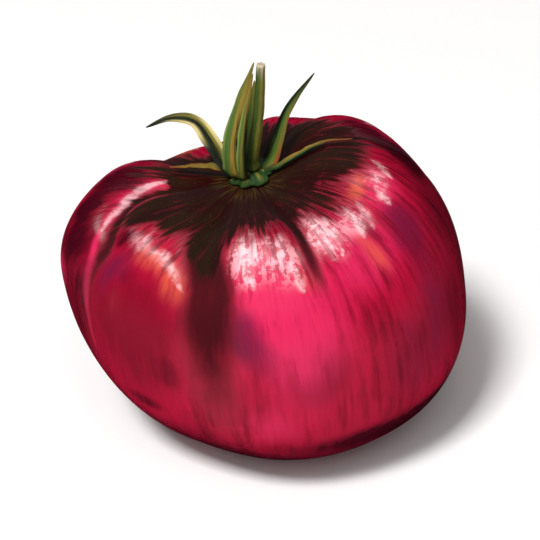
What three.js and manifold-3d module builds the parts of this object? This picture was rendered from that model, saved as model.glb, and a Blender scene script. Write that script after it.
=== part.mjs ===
// A ripe, deeply lobed tomato as picked: the fruit, the green calyx that sits in the pit
// at its top, and the short cut stem that stands on the calyx.
// Millimetres, +Z up. The origin is the middle of the flat spot that the fruit rests on.
// Azimuths are in degrees from +X, and -90 is the side that faces the viewer.

import * as THREE from 'three';
import { mergeVertices } from 'three/addons/utils/BufferGeometryUtils.js';
import Module from 'manifold-3d';

const wasm = await Module();
wasm.setup();

// The fruit.
const FLAT_RADIUS = 11; // the flat spot that it rests on
const RIM_RADIUS = 20; // from the axis to the tops of the shoulders
const PIT_FLOOR = 62; // height of the middle of the pit
const PIT_SHIFT = { x: 0, y: 2 }; // of the pit's middle, from the middle of its rim
const BELLY_POWER = 2.25; // superellipse power below the widest point: 2 is an ellipse
const SHOULDER_POWER = 2.35; // and above it, where the fruit is boxier
const LEAN = { x: -8, y: -6 }; // how far the top is pushed over, to the left and front
const LEAN_HEIGHT = 66; // height that has the whole lean

// Each lobe's crown: its azimuth, how high its shoulder stands, how far it reaches from
// the axis and how high its widest point lies.
const LOBES = [
  { azimuth: -161, shoulder: 61.5, reach: 46.5, widest: 42 },
  { azimuth: -124, shoulder: 61.5, reach: 46.5, widest: 38 },
  { azimuth: -87, shoulder: 62.5, reach: 47.5, widest: 32 },
  { azimuth: -49, shoulder: 64.5, reach: 46.5, widest: 32 },
  { azimuth: -7, shoulder: 70.5, reach: 47.0, widest: 33 },
  { azimuth: 36, shoulder: 71.5, reach: 48.5, widest: 32 },
  { azimuth: 75, shoulder: 67.5, reach: 43.0, widest: 34 },
  { azimuth: 114, shoulder: 61.5, reach: 41.0, widest: 36 },
  { azimuth: 155, shoulder: 61.5, reach: 44.5, widest: 40 },
];

// Each crease between two lobes: its azimuth, its depth, its half width in degrees, and
// how far it runs down from the rim, where 1 is to the widest point and 2 to the floor.
const CREASES = [
  { azimuth: -148, depth: 2.4, spread: 9, run: 1.3 },
  { azimuth: -104, depth: 3.8, spread: 12, run: 1.5 },
  { azimuth: -68, depth: 2.2, spread: 6, run: 0.6 },
  { azimuth: -32, depth: 1.0, spread: 9, run: 0.8 },
  { azimuth: 20, depth: 1.6, spread: 9, run: 0.9 },
  { azimuth: 56, depth: 1.2, spread: 9, run: 1.1 },
  { azimuth: 96, depth: 2.6, spread: 11, run: 1.2 },
  { azimuth: 132, depth: 3.0, spread: 11, run: 1.2 },
  { azimuth: 180, depth: 2.2, spread: 9, run: 1.1 },
];
const CREASE_SHARPNESS = 1.4; // 1 is a knife cut, 2 a round groove
const CREASE_TILT = 81; // degrees from level that a crease cuts down into the shoulder
const CREASE_LEVELS = [34, 66]; // heights between which the cut turns from level to that
const CREASE_FADE = [3.8, 3.25]; // stations in the pit where a crease starts and is whole

// The calyx: a pad in the pit and the sepals that grow from it.
const PAD_GAP = 0.4; // under the pad, upright: about 0.3 square to the sloping skin
const SEPAL_THICKNESS = { base: 1.2, tip: 0.8 };
const SEPAL_TIP_WIDTH = 0.8;
const SEPAL_CURL = 0.3; // rise of the edges, as a part of the half width
const SEPAL_FOOT = 0.7; // width at the foot, as a part of the greatest width
const SEPAL_WIDEST = 0.25; // where it is widest, as a part of its length
const SEPAL_TAPER = { power: 1.7, fullness: 0.85 }; // how it draws in to the tip
const LYING_LIFT = 1.3; // middle of a lying sepal over the skin

// Rings of the pad, from the middle of its underside to the middle of its top: radius,
// height over its underside, and how much of the pit's rise it follows.
const PAD_RINGS = [
  { radius: 0, height: 0, follow: 1 },
  { radius: 3, height: 0, follow: 1 },
  { radius: 4.8, height: 0, follow: 1 },
  { radius: 5.2, height: 0.5, follow: 1 },
  { radius: 4.7, height: 1.1, follow: 0.9 },
  { radius: 3.4, height: 1.7, follow: 0.6 },
  { radius: 2.5, height: 2.2, follow: 0 },
  { radius: 0, height: 2.2, follow: 0 },
];

// Each free sepal: the azimuth its flat faces, its greatest width, and the points of its
// spine from the middle of the pit's floor.
const FREE_SEPALS = [
  {
    azimuth: 158,
    width: 4.4,
    spine: [[-1.8, 1.2, 1.7], [-4.4, 3, 3.3], [-7.8, 4.4, 7.4], [-12.2, 6, 11.8], [-18.2, 7.6, 11.8],
      [-24, 9, 8.8]],
  },
  {
    azimuth: -124,
    width: 6,
    spine: [[-1.8, -1.8, 1.7], [-4.2, -4, 3.9], [-4.6, -4.2, 11], [-2.6, -2.2, 19.6], [0.9, 1.2, 28.6]],
  },
  {
    azimuth: -92,
    width: 3,
    spine: [[-0.8, -2.2, 1.7], [-1.8, -4.8, 3.5], [-1.9, -5.2, 11], [-0.9, -3.6, 19], [0.7, -0.8, 26.8]],
  },
  {
    azimuth: 60,
    width: 4.2,
    spine: [[1.8, 1.2, 1.8], [4.8, 2, 4.1], [6.4, 2, 9.2], [8.8, 2.4, 16.8], [14.4, 3.4, 25]],
  },
  {
    azimuth: 96,
    width: 4.2,
    spine: [[-0.4, 2, 1.8], [-0.6, 4.4, 4.5], [-0.4, 5, 10], [0.4, 6.2, 16], [1, 8.2, 21]],
  },
];

// Each lying sepal follows the skin out of the pit, from where it leaves the pad to its
// tip, and arches over it in the middle: stations and azimuths as skinPoint() takes them.
const LYING_SEPALS = [
  { width: 3.4, arch: 0, from: { station: 3.82, azimuth: 3 }, to: { station: 2.94, azimuth: 17 } },
  { width: 3.2, arch: 1.4, from: { station: 3.82, azimuth: 160 }, to: { station: 3, azimuth: 168 } },
];
const LYING_SPANS = 6; // between the points that such a spine is laid through

// The stem: points of its middle line from the middle of the pit's floor.
const STEM_SPINE = [[0.2, 0, 3.5], [0.9, -0.5, 9], [1.9, -0.8, 17], [2.5, -0.9, 29.2]];
const STEM_RADIUS = { base: 1.6, tip: 1.0 };
const STEM_FOOT = 0.5; // how much wider its foot is
const STEM_FOOT_SHARE = 0.12; // of its length
const STEM_RIDGES = { count: 5, height: 0.08 };

// How finely each piece is divided.
const FRUIT_SEGMENTS = 90;
const FRUIT_RINGS = { flat: 1, belly: 10, shoulder: 12, pit: 8 };
const PAD_SEGMENTS = 30;
const SEPAL_SIDES = 8;
const SEPAL_STEPS = 14;
const STEM_SIDES = 20;
const STEM_STEPS = 10;

const { clamp, degToRad, euclideanModulo, lerp, smoothstep } = THREE.MathUtils;

// The lobes' value of one name at an azimuth, eased from crown to crown.
function alongLobes(name, azimuth) {
  const past = euclideanModulo(azimuth - LOBES[0].azimuth, 360) + LOBES[0].azimuth;
  const index = LOBES.findLastIndex((lobe) => lobe.azimuth <= past);
  const lobe = LOBES[index];
  const next = LOBES[(index + 1) % LOBES.length];
  const share = (past - lobe.azimuth) / euclideanModulo(next.azimuth - lobe.azimuth, 360);
  return lerp(lobe[name], next[name], (1 - Math.cos(Math.PI * share)) / 2);
}

// Depth of all creases at a station and an azimuth.
function creaseDepth(station, azimuth) {
  let depth = 0;
  for (const crease of CREASES) {
    const turn = euclideanModulo(azimuth - crease.azimuth + 180, 360) - 180;
    const across = Math.exp(-((Math.abs(turn) / crease.spread) ** CREASE_SHARPNESS));
    depth += crease.depth * across * smoothstep(station, 3 - crease.run, 3);
  }
  const [start, whole] = CREASE_FADE;
  return depth * clamp((start - station) / (start - whole), 0, 1);
}

// A point of the fruit's skin. The station runs from 0 at the middle of the flat spot to
// 1 at its edge, 2 at the widest point, 3 on the rim of the pit and 4 in its middle.
function skinPoint(station, azimuth) {
  const shoulder = alongLobes('shoulder', azimuth);
  const reach = alongLobes('reach', azimuth);
  const widest = alongLobes('widest', azimuth);
  let radius = FLAT_RADIUS * station;
  let height = 0;
  if (station > 1 && station <= 2) {
    const sweep = (station - 1) * Math.PI / 2;
    radius = lerp(FLAT_RADIUS, reach, Math.sin(sweep) ** (2 / BELLY_POWER));
    height = widest * (1 - Math.cos(sweep) ** (2 / BELLY_POWER));
  } else if (station > 2 && station <= 3) {
    const sweep = (3 - station) * Math.PI / 2;
    radius = lerp(RIM_RADIUS, reach, Math.sin(sweep) ** (2 / SHOULDER_POWER));
    height = lerp(widest, shoulder, Math.cos(sweep) ** (2 / SHOULDER_POWER));
  } else if (station > 3) {
    radius = RIM_RADIUS * (4 - station);
    height = lerp(shoulder, PIT_FLOOR, smoothstep(station, 3, 4));
  }
  const [low, high] = CREASE_LEVELS;
  const tilt = degToRad(CREASE_TILT) * clamp((height - low) / (high - low), 0, 1);
  const depth = creaseDepth(station, azimuth);
  radius -= depth * Math.cos(tilt);
  height -= depth * Math.sin(tilt);
  const lean = height / LEAN_HEIGHT;
  const pit = smoothstep(station, 3, 4);
  const angle = degToRad(azimuth);
  return new THREE.Vector3(
    radius * Math.cos(angle) + LEAN.x * lean + PIT_SHIFT.x * pit,
    radius * Math.sin(angle) + LEAN.y * lean + PIT_SHIFT.y * pit,
    height,
  );
}

const pitMiddle = skinPoint(4, 0);

// A closed body turned round the axis: place() puts each point of ring number k.
function turned(ringCount, segments, place) {
  const profile = [];
  for (let k = 0; k < ringCount; k += 1) {
    const rise = Math.PI * k / (ringCount - 1);
    const isEnd = k === 0 || k === ringCount - 1;
    profile.push(new THREE.Vector2(isEnd ? 0 : Math.sin(rise), -Math.cos(rise)));
  }
  const geometry = new THREE.LatheGeometry(profile, segments);
  const { position, uv } = geometry.attributes;
  for (let i = 0; i < position.count; i += 1) {
    const ring = Math.round(uv.getY(i) * (ringCount - 1));
    const segment = Math.round(uv.getX(i) * segments) % segments;
    const point = place(ring, 360 * segment / segments);
    position.setXYZ(i, point.x, point.y, point.z);
  }
  return geometry;
}

// A rod or blade along a spine. The unit cylinder's x, y and z become the way across, the
// way along and the way through, and section() gives the last two their size.
function alongSpine(spine, sides, steps, firstAcross, section) {
  const curve = new THREE.CatmullRomCurve3(spine, false, 'catmullrom', 0.5);
  const geometry = new THREE.CylinderGeometry(1, 1, 1, sides, steps, false, Math.PI / sides);
  const { position } = geometry.attributes;
  for (let i = 0; i < position.count; i += 1) {
    const share = position.getY(i) + 0.5;
    const along = curve.getTangent(share);
    const across = firstAcross.clone().addScaledVector(along, -firstAcross.dot(along)).normalize();
    const through = across.clone().cross(along);
    const size = section(share, position.getX(i), position.getZ(i));
    const point = curve.getPoint(share);
    point.addScaledVector(across, size.across).addScaledVector(through, size.through);
    position.setXYZ(i, point.x, point.y, point.z);
  }
  return geometry;
}

// The same surface with its shared points merged and its flattened triangles dropped.
function sealed(geometry) {
  geometry.deleteAttribute('normal');
  geometry.deleteAttribute('uv');
  const merged = mergeVertices(geometry);
  const corners = merged.index.array;
  const kept = [];
  for (let i = 0; i < corners.length; i += 3) {
    const [a, b, c] = corners.subarray(i, i + 3);
    if (a !== b && b !== c && c !== a) {
      kept.push(a, b, c);
    }
  }
  merged.setIndex(kept);
  return merged;
}

function toSolid(geometry) {
  const merged = sealed(geometry);
  const vertProperties = new Float32Array(merged.attributes.position.array);
  const triVerts = new Uint32Array(merged.index.array);
  return new wasm.Manifold(new wasm.Mesh({ numProp: 3, vertProperties, triVerts }));
}

function toGeometry(solid) {
  const mesh = solid.getMesh();
  const geometry = new THREE.BufferGeometry();
  geometry.setAttribute('position', new THREE.BufferAttribute(mesh.vertProperties, 3));
  geometry.setIndex(new THREE.BufferAttribute(mesh.triVerts, 1));
  geometry.computeVertexNormals();
  return geometry;
}

// The fruit: one solid, from the flat spot over the lobes and down into the pit.
function fruitGeometry() {
  const stations = [0];
  Object.values(FRUIT_RINGS).forEach((count, section) => {
    for (let k = 1; k <= count; k += 1) {
      stations.push(section + k / count);
    }
  });
  const place = (ring, azimuth) => skinPoint(stations[ring], azimuth);
  const geometry = sealed(turned(stations.length, FRUIT_SEGMENTS, place));
  geometry.computeVertexNormals();
  return geometry;
}

// The pad: its underside follows the pit, and its top is level round the stem.
function padGeometry() {
  return turned(PAD_RINGS.length, PAD_SEGMENTS, (ring, azimuth) => {
    const { radius, height, follow } = PAD_RINGS[ring];
    const point = skinPoint(4 - radius / RIM_RADIUS, azimuth);
    point.z = lerp(PIT_FLOOR, point.z, follow) + PAD_GAP + height;
    return point;
  });
}

// A sepal: widest a little way up and drawn out to its tip, with squared edges that curl.
function sepalGeometry(azimuth, width, spine) {
  const angle = degToRad(azimuth);
  const firstAcross = new THREE.Vector3(Math.sin(angle), -Math.cos(angle), 0);
  return alongSpine(spine, SEPAL_SIDES, SEPAL_STEPS, firstAcross, (share, x, z) => {
    const swell = lerp(SEPAL_FOOT, 1, smoothstep(share, 0, SEPAL_WIDEST));
    const shape = swell * (1 - share ** SEPAL_TAPER.power) ** SEPAL_TAPER.fullness;
    const half = lerp(SEPAL_TIP_WIDTH, width, shape) / 2;
    const thickness = lerp(SEPAL_THICKNESS.base, SEPAL_THICKNESS.tip, share);
    const face = Math.sign(z) * Math.sqrt(Math.abs(z));
    return { across: x * half, through: face * thickness / 2 + SEPAL_CURL * half * x * x };
  });
}

// A lying sepal's spine: out of the pad and over the skin, a little clear of it.
function lyingSpine({ arch, from, to }) {
  const spine = [];
  for (let k = 0; k <= LYING_SPANS; k += 1) {
    const share = k / LYING_SPANS;
    const station = lerp(from.station, to.station, share);
    const azimuth = lerp(from.azimuth, to.azimuth, share);
    const point = skinPoint(station, azimuth);
    point.z += LYING_LIFT + arch * Math.sin(Math.PI * share);
    spine.push(point);
  }
  return spine;
}

function calyxGeometry() {
  let calyx = toSolid(padGeometry());
  for (const { azimuth, width, spine } of FREE_SEPALS) {
    const placed = spine.map((point) => new THREE.Vector3(...point).add(pitMiddle));
    calyx = calyx.add(toSolid(sepalGeometry(azimuth, width, placed)));
  }
  for (const sepal of LYING_SEPALS) {
    const { azimuth } = sepal.from;
    calyx = calyx.add(toSolid(sepalGeometry(azimuth, sepal.width, lyingSpine(sepal))));
  }
  return toGeometry(calyx);
}

// The stem: ridged, with a wider foot, and cut off square.
function stemGeometry() {
  const placed = STEM_SPINE.map((point) => new THREE.Vector3(...point).add(pitMiddle));
  const firstAcross = new THREE.Vector3(1, 0, 0);
  const rod = alongSpine(placed, STEM_SIDES, STEM_STEPS, firstAcross, (share, x, z) => {
    const foot = STEM_FOOT * (1 - smoothstep(share, 0, STEM_FOOT_SHARE));
    const ridge = STEM_RIDGES.height * Math.cos(STEM_RIDGES.count * Math.atan2(z, x));
    const radius = lerp(STEM_RADIUS.base, STEM_RADIUS.tip, share) + foot + ridge;
    return { across: x * radius, through: z * radius };
  });
  const geometry = sealed(rod);
  geometry.computeVertexNormals();
  return geometry;
}

function piece(name, geometry, colour, roughness) {
  const material = new THREE.MeshStandardMaterial({ color: colour, roughness, metalness: 0 });
  material.name = name;
  const mesh = new THREE.Mesh(geometry, material);
  mesh.name = name;
  return mesh;
}

const tomato = new THREE.Group();
tomato.name = 'tomato';
tomato.add(piece('fruit', fruitGeometry(), 0x8f1a30, 0.3));
tomato.add(piece('calyx', calyxGeometry(), 0x4a5a22, 0.7));
tomato.add(piece('stem', stemGeometry(), 0x5f6a2c, 0.75));

export default tomato;
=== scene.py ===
# %% [markdown]
# # A ripe, lobed tomato
# The tomato is three natural pieces: the fruit, the green calyx in the pit at its top, and
# the cut stem on the calyx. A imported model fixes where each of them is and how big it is.
# This lesson gives them their looks. Each piece is made again as a fine mesh from the same
# named sizes, so it stays in the space of the solid that it stands for, and then gets its
# finish.

# %% Load the frame
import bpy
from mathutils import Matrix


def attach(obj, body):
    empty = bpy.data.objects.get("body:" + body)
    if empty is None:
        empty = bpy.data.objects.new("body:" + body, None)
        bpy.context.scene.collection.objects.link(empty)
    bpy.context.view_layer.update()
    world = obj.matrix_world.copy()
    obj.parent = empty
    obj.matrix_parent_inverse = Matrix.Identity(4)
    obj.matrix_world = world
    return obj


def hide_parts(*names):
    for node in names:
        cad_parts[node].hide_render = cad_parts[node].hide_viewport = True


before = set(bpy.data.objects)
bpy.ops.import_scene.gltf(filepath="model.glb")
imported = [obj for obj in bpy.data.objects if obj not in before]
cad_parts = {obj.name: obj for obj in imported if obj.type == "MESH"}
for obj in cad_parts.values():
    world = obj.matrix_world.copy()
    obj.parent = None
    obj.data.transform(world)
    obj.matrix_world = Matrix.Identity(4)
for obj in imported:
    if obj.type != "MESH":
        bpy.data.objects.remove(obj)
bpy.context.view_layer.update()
print("nodes:", sorted(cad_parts))

# %% [markdown]
# Sizes are easiest to read in millimetres, and Blender works in metres, so every size is
# written in millimetres and multiplied by MM where a mesh is made. Numpy works out whole
# grids of points at once, which keeps a mesh of a hundred thousand points quick.

# %% Units and small helpers
import math

import bpy
import numpy as np
from mathutils import Vector

MM = 0.001


def ease(value, low, high):
    """Goes from 0 at low to 1 at high, gently at both ends."""
    share = np.clip((value - low) / (high - low), 0, 1)
    return share * share * (3 - 2 * share)


def blend(a, b, share):
    """a at share 0, b at share 1, and straight between them."""
    return a + (b - a) * share


def turn_from(middle, azimuth):
    """Degrees from one azimuth to another, the short way round."""
    return (azimuth - middle + 180) % 360 - 180


def rings_and_laps(rows, around, full_turn):
    """Two grids: the value of each point's ring, and how far round the ring the point is."""
    return np.meshgrid(rows, np.arange(around) * full_turn / around, indexing="ij")


print("half way, eased:", float(ease(0.5, 0, 1)), "and 190 degrees is", turn_from(0, 190))

# %% [markdown]
# A paint chart gives colours as three numbers from 0 to 255, spaced the way the eye sees
# them. A renderer adds up light, so it needs the share of light that the colour sends
# back. This helper turns the one into the other, and every colour below goes through it.

# %% Colours
def srgb(red, green, blue):
    """A colour as a paint chart gives it, turned into the light that it sends back."""
    channels = np.array([red, green, blue]) / 255
    linear = np.where(channels <= 0.04045, channels / 12.92, ((channels + 0.055) / 1.055) ** 2.4)
    return (*(float(channel) for channel in linear), 1.0)


print("crimson sends back", [round(channel, 3) for channel in srgb(180, 12, 54)[:3]])

# %% [markdown]
# The picture shows the tomato from in front, about 30 degrees above the table, with little
# perspective. A long lens from half a metre away gives the same flat, close view. The
# camera is made first, because everything after it is judged through it.

# %% Camera
CAMERA_RISE = math.radians(30)
CAMERA_AWAY = 479 * MM
CAMERA_AIM = Vector((-3.0, 0.0, 36.0)) * MM
CAMERA_LENS = 135

camera_data = bpy.data.cameras.new("camera")
camera_data.lens = CAMERA_LENS
camera = bpy.data.objects.new("camera", camera_data)
bpy.context.scene.collection.objects.link(camera)
backwards = Vector((0, -math.cos(CAMERA_RISE), math.sin(CAMERA_RISE)))
camera.location = CAMERA_AIM + backwards * CAMERA_AWAY
camera.rotation_euler = backwards.to_track_quat("Z", "Y").to_euler()
bpy.context.scene.camera = camera
print("camera at", tuple(round(value, 3) for value in camera.location))

# %% [markdown]
# A big slicing tomato is a ring of lobes, each one a seed chamber that swelled on its own,
# with a crease wherever two of them meet. One crown per lobe says how high its shoulder
# stands, how far it reaches and how high its widest point lies. It could be sculpted, but
# a formula gives the same fruit every time and any fineness that a later step asks for.

# %% Sizes of the fruit
FLAT_RADIUS = 11.0
RIM_RADIUS = 20.0
PIT_FLOOR = 62.0
PIT_SHIFT = (0.0, 2.0)
BELLY_POWER = 2.25
SHOULDER_POWER = 2.35
LEAN = (-8.0, -6.0)
LEAN_HEIGHT = 66.0

# Crown azimuth, shoulder height, reach from the axis, height of the widest point.
LOBES = [
    (-161, 61.5, 46.5, 42),
    (-124, 61.5, 46.5, 38),
    (-87, 62.5, 47.5, 32),
    (-49, 64.5, 46.5, 32),
    (-7, 70.5, 47.0, 33),
    (36, 71.5, 48.5, 32),
    (75, 67.5, 43.0, 34),
    (114, 60.4, 41.0, 36),
    (155, 61.5, 44.5, 40),
]
print(len(LOBES), "lobes")

# %% [markdown]
# The creases are a table too. On the real fruit they are deepest near the pit and run out
# on the way down. Two of them at the front left swing sideways as they near the pit, which
# is what makes the left lobe look folded over its neighbour.

# %% Creases between the lobes
# Azimuth, depth, half width in degrees, how far it runs down from the rim, how far it
# bends by the rim in degrees, how dark its painted shade is, and the half width of that
# dark line.
CREASES = [
    (-148, 2.4, 9, 1.3, -35, 0.9, 3.5),
    (-104, 3.8, 12, 1.5, -13, 1.3, 8),
    (-68, 2.2, 6, 0.6, 3, 0.9, 2.6),
    (-32, 1.0, 9, 0.8, 0, 0.1, 4),
    (20, 1.6, 9, 0.9, 0, 0.4, 4),
    (56, 1.2, 9, 1.1, 0, 0.5, 4),
    (96, 2.6, 11, 1.2, 0, 0.8, 5),
    (132, 3.0, 11, 1.2, 0, 0.9, 6),
    (180, 0.2, 9, 1.1, 0, 0.0, 4),
]
CREASE_SHARPNESS = 1.4
CREASE_TILT = math.radians(81)
CREASE_LEVELS = (34.0, 66.0)
CREASE_FADE = (3.25, 3.8)
CREASE_BEND = (2.5, 3.1)
print(len(CREASES), "creases, the deepest", max(crease[1] for crease in CREASES), "mm")

# %% [markdown]
# The skin is one sheet. Its station runs from 0 in the middle of the flat spot below to 1
# at the edge of that spot, 2 at the widest point, 3 on the rim of the pit and 4 in the
# middle of the pit. The azimuth runs round the axis, and -90 degrees faces the viewer.
# These three helpers answer what a lobe or a crease does at a given place on the sheet.

# %% Lobes and creases as formulas
def along_lobes(column, azimuth):
    """One column of the lobes' table, eased from crown to crown round the fruit."""
    first = LOBES[0][0]
    crowns = np.array([lobe[0] for lobe in LOBES] + [first + 360], float)
    values = np.array([lobe[column] for lobe in LOBES] + [LOBES[0][column]], float)
    past = (azimuth - first) % 360 + first
    at = np.clip(np.searchsorted(crowns, past, side="right") - 1, 0, len(LOBES) - 1)
    share = (past - crowns[at]) / (crowns[at + 1] - crowns[at])
    return blend(values[at], values[at + 1], (1 - np.cos(np.pi * share)) / 2)


def off_crease(station, azimuth, middle, bend):
    """Degrees between a point and a crease, which bends as it nears the rim."""
    return np.abs(turn_from(middle + bend * ease(station, *CREASE_BEND), azimuth))


def crease_depth(station, azimuth):
    """How deep all creases together cut at a point, in millimetres."""
    depth = np.zeros_like(station)
    for middle, deep, spread, run, bend, _, _ in CREASES:
        turn = off_crease(station, azimuth, middle, bend)
        depth += deep * np.exp(-((turn / spread) ** CREASE_SHARPNESS)) * ease(station, 3 - run, 3)
    whole, start = CREASE_FADE
    return depth * np.clip((start - station) / (start - whole), 0, 1)


print("crease at the front left cuts", round(float(crease_depth(np.array(3.0), -117.0)), 2), "mm")

# %% [markdown]
# From the side, a lobe is two rounded quarter arcs, one below its widest point and one
# above it. A power a little over 2 makes an arc fuller than a circle, as in a fruit that
# pushes against its own skin. Every crease is a narrow dip that turns from cutting inwards
# on the side to cutting downwards on the shoulder. Last, the whole stack of rings is
# shifted sideways with height, because this fruit leans.

# %% The skin as a formula
def skin_point(station, azimuth):
    """Points of the fruit's skin in millimetres, for arrays of stations and azimuths."""
    shoulder, reach, widest = (along_lobes(column, azimuth) for column in (1, 2, 3))
    below = np.clip(station - 1, 0, 1) * np.pi / 2
    above = np.clip(3 - station, 0, 1) * np.pi / 2
    belly = (
        blend(FLAT_RADIUS, reach, np.sin(below) ** (2 / BELLY_POWER)),
        widest * (1 - np.cos(below) ** (2 / BELLY_POWER)),
    )
    top = (
        blend(RIM_RADIUS, reach, np.sin(above) ** (2 / SHOULDER_POWER)),
        blend(widest, shoulder, np.cos(above) ** (2 / SHOULDER_POWER)),
    )
    pit = (RIM_RADIUS * (4 - station), blend(shoulder, PIT_FLOOR, ease(station, 3, 4)))
    zones = [station <= 1, station <= 2, station <= 3]
    radius = np.select(zones, [FLAT_RADIUS * station, belly[0], top[0]], pit[0])
    height = np.select(zones, [0 * station, belly[1], top[1]], pit[1])
    low, high = CREASE_LEVELS
    tilt = CREASE_TILT * np.clip((height - low) / (high - low), 0, 1)
    depth = crease_depth(station, azimuth)
    radius = radius - depth * np.cos(tilt)
    height = height - depth * np.sin(tilt)
    lean = height / LEAN_HEIGHT
    shift = ease(station, 3, 4)
    angle = np.radians(azimuth)
    return np.stack([
        radius * np.cos(angle) + LEAN[0] * lean + PIT_SHIFT[0] * shift,
        radius * np.sin(angle) + LEAN[1] * lean + PIT_SHIFT[1] * shift,
        height,
    ], axis=-1)


PIT_MIDDLE = skin_point(np.array(4.0), np.array(0.0))
print("middle of the pit:", PIT_MIDDLE.round(2))

# %% [markdown]
# Every piece here is a grid: rings of points, joined ring to ring with four-sided faces,
# and closed at both ends. One helper turns such a grid into a Blender object, stores named
# values on its points for the material to read, and hangs it on the frame: it rides on the
# body "root" and hides the imported node that it replaces.

# %% From a grid of points to a piece
def make_piece(name, rings, values, slot):
    """rings: rows x around x 3, in millimetres. values: name -> rows x around [x 3]."""
    rows, around = rings.shape[:2]
    index = np.arange(rows * around).reshape(rows, around)
    here = index[:-1]
    up = index[1:]
    quads = np.stack([here, np.roll(here, -1, 1), np.roll(up, -1, 1), up], -1).reshape(-1, 4)
    ends = [index[0][::-1].tolist(), index[-1].tolist()]
    mesh = bpy.data.meshes.new(name)
    mesh.from_pydata((rings.reshape(-1, 3) * MM).tolist(), [], quads.tolist() + ends)
    mesh.validate()
    mesh.shade_smooth()
    for value_name, value in values.items():
        kind, field = ("FLOAT_VECTOR", "vector") if value.ndim == 3 else ("FLOAT", "value")
        attribute = mesh.attributes.new(value_name, kind, "POINT")
        attribute.data.foreach_set(field, np.ascontiguousarray(value, dtype=np.float32).ravel())
    piece = bpy.data.objects.new(name, mesh)
    bpy.context.scene.collection.objects.link(piece)
    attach(piece, "root")
    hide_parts(slot)
    print(name, len(mesh.polygons), "faces")
    return piece


def grain_vector(turn, lengthways):
    """A direction round a piece and a place along it: a noise over it runs with the grain."""
    return np.stack([np.cos(turn), np.sin(turn), lengthways], axis=-1)


print("grain at the widest point in front:", grain_vector(np.radians(-90.0), 2.0).round(2))

# %% [markdown]
# Real skin isn't as smooth as a formula. Up close it has shallow dents where the flesh is
# soft, and very fine ribs that run from the pit down the lobes. A sum of a few sine waves
# with seeded phases gives both, and they are real bumps in the mesh, so the gloss breaks
# up over them as it does on the fruit. The seed makes every run draw the same waves.

# %% Dents and ribs of the skin
DENT_HEIGHT = 0.22
DENT_WAVES = (10, 0.10, 0.28)
RIB_HEIGHT = 0.03
RIB_WAVES = (14, 40, 110)
RIB_LENGTHWAYS = 0.05
RIB_START = (2.0, 2.8)
RELIEF_START = (1.15, 1.6)
RELIEF_END = (3.3, 3.7)
rng = np.random.default_rng(7)


def waves(points, count, low, high):
    """A seeded sum of waves over points, between -1 and 1, with wave numbers low to high."""
    total = np.zeros(points.shape[:-1])
    for _ in range(count):
        direction = rng.normal(size=3)
        direction *= rng.uniform(low, high) / np.linalg.norm(direction)
        total += np.sin(points @ direction + rng.uniform(0, 2 * np.pi))
    return total / np.sqrt(count * 2)


def relief(points, station, azimuth):
    """How far the skin stands out or in, in millimetres, away from the pad and the floor."""
    dents = waves(points, *DENT_WAVES) * DENT_HEIGHT
    grain = grain_vector(np.radians(azimuth), RIB_LENGTHWAYS * station)
    ribs = waves(grain, *RIB_WAVES) * RIB_HEIGHT
    fade = ease(station, *RELIEF_START) * (1 - ease(station, *RELIEF_END))
    return (dents + ribs * ease(station, *RIB_START)) * fade


print("skin relief: dents", DENT_HEIGHT, "mm and ribs", RIB_HEIGHT, "mm")

# %% [markdown]
# The fruit is cut into rings, closest together on the shoulder and in the pit, where the
# eye looks first. Each point is then pushed outwards by the relief. Outwards is found from
# the grid itself: it is the direction at right angles to the two grid lines that cross at
# the point. The blossom scar is a small dent in the middle of the flat spot.

# %% The fruit's points
FRUIT_AROUND = 540
FRUIT_ROWS = {"flat": 14, "belly": 70, "shoulder": 110, "pit": 60}
POLE_GAP = 0.004
SCAR_EDGE = 0.16
SCAR_DENT = 0.5


def fruit_stations():
    """The station of every ring, from the flat spot to the middle of the pit."""
    steps = [np.linspace(part, part + 1, count, endpoint=False)
             for part, count in enumerate(FRUIT_ROWS.values())]
    stations = np.concatenate(steps + [[4.0]])
    stations[0] = POLE_GAP
    stations[-1] = 4.0 - POLE_GAP
    return stations


station, azimuth = rings_and_laps(fruit_stations(), FRUIT_AROUND, 360)
skin = skin_point(station, azimuth)
up_the_skin = np.gradient(skin, axis=0)
round_the_skin = np.roll(skin, -1, 1) - np.roll(skin, 1, 1)
outwards = np.cross(round_the_skin, up_the_skin)
outwards /= np.linalg.norm(outwards, axis=-1, keepdims=True) + 1e-9
skin = skin + outwards * relief(skin, station, azimuth)[..., None]
skin[..., 2] += SCAR_DENT * (1 - ease(station, 0, SCAR_EDGE))
print("fruit:", station.size, "points")
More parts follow.
